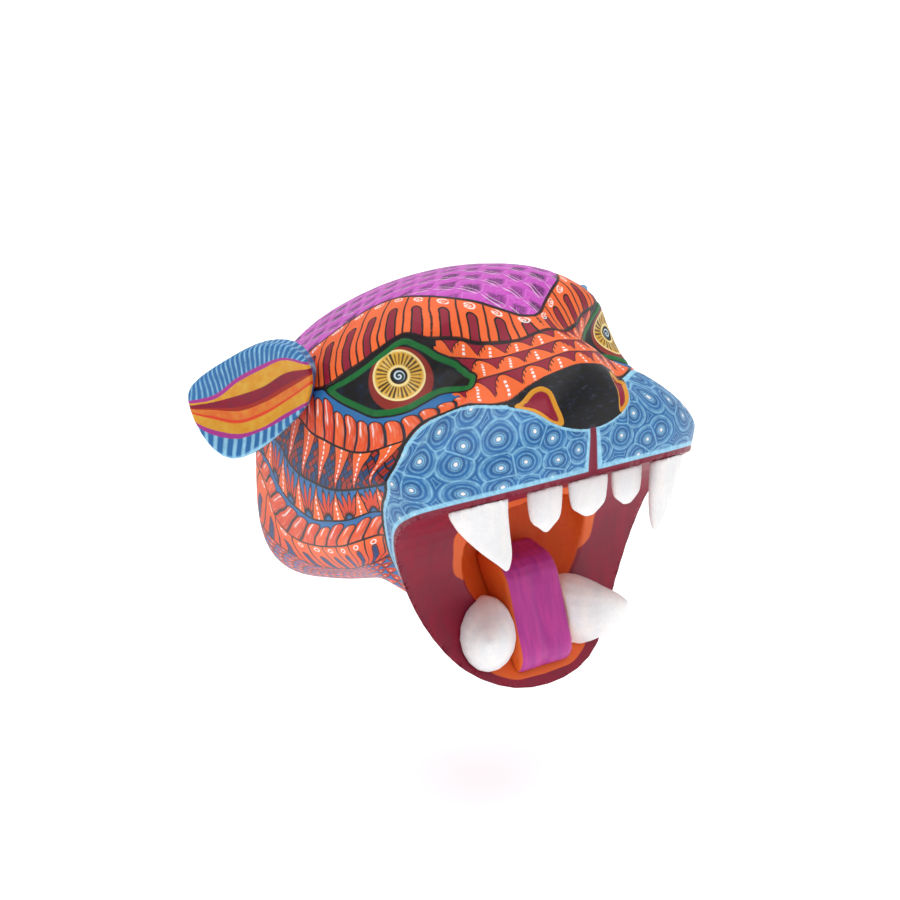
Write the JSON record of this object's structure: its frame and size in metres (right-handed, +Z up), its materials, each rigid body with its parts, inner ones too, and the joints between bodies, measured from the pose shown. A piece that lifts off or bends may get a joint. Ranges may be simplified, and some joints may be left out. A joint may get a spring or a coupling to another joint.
{
  "type": "big cat head wall mask",
  "caption": "Carved and painted wooden big cat head with an open fanged mouth, a hollow back and a ring hanger for a wall.",
  "frame": {"origin": "the point of the wall hook inside the raised hanger ring, in the plane of the wall", "axes": "+Z up, +Y into the wall, -Y the way the face looks, +X the animal's left"},
  "size_m": [0.2466, 0.1743, 0.1985],
  "materials": {
    "painted_wood": "satin acrylic paint in many colours over carved wood",
    "ear_paint": "satin acrylic paint over carved wood",
    "bare_wood": "bare sanded wood",
    "tooth_white": "satin white paint over carved wood",
    "tongue_magenta": "satin magenta paint over carved wood",
    "zinc_steel": "zinc plated"
  },
  "bodies": {
    "mask": {"head_shell": "painted_wood", "ear_right": "ear_paint", "ear_left": "ear_paint", "ear_peg_right": "bare_wood", "ear_peg_left": "bare_wood", "upper_fang_right": "tooth_white", "upper_fang_left": "tooth_white", "front_tooth_right": "tooth_white", "front_tooth_middle": "tooth_white", "front_tooth_left": "tooth_white", "lower_fang_right": "tooth_white", "lower_fang_left": "tooth_white", "tongue": "tongue_magenta", "hanger_plate": "zinc_steel", "hanger_screw_upper": "zinc_steel", "hanger_screw_lower": "zinc_steel"},
    "ring": {"hanger_ring": "zinc_steel"}
  },
  "joints": [
    {"name": "ring_hinge", "type": "hinge", "parent": "mask", "child": "ring", "pos_m": [0, -0.0022, -0.011], "axis": [1, 0, 0], "range_deg": [0, 180]}
  ]
}
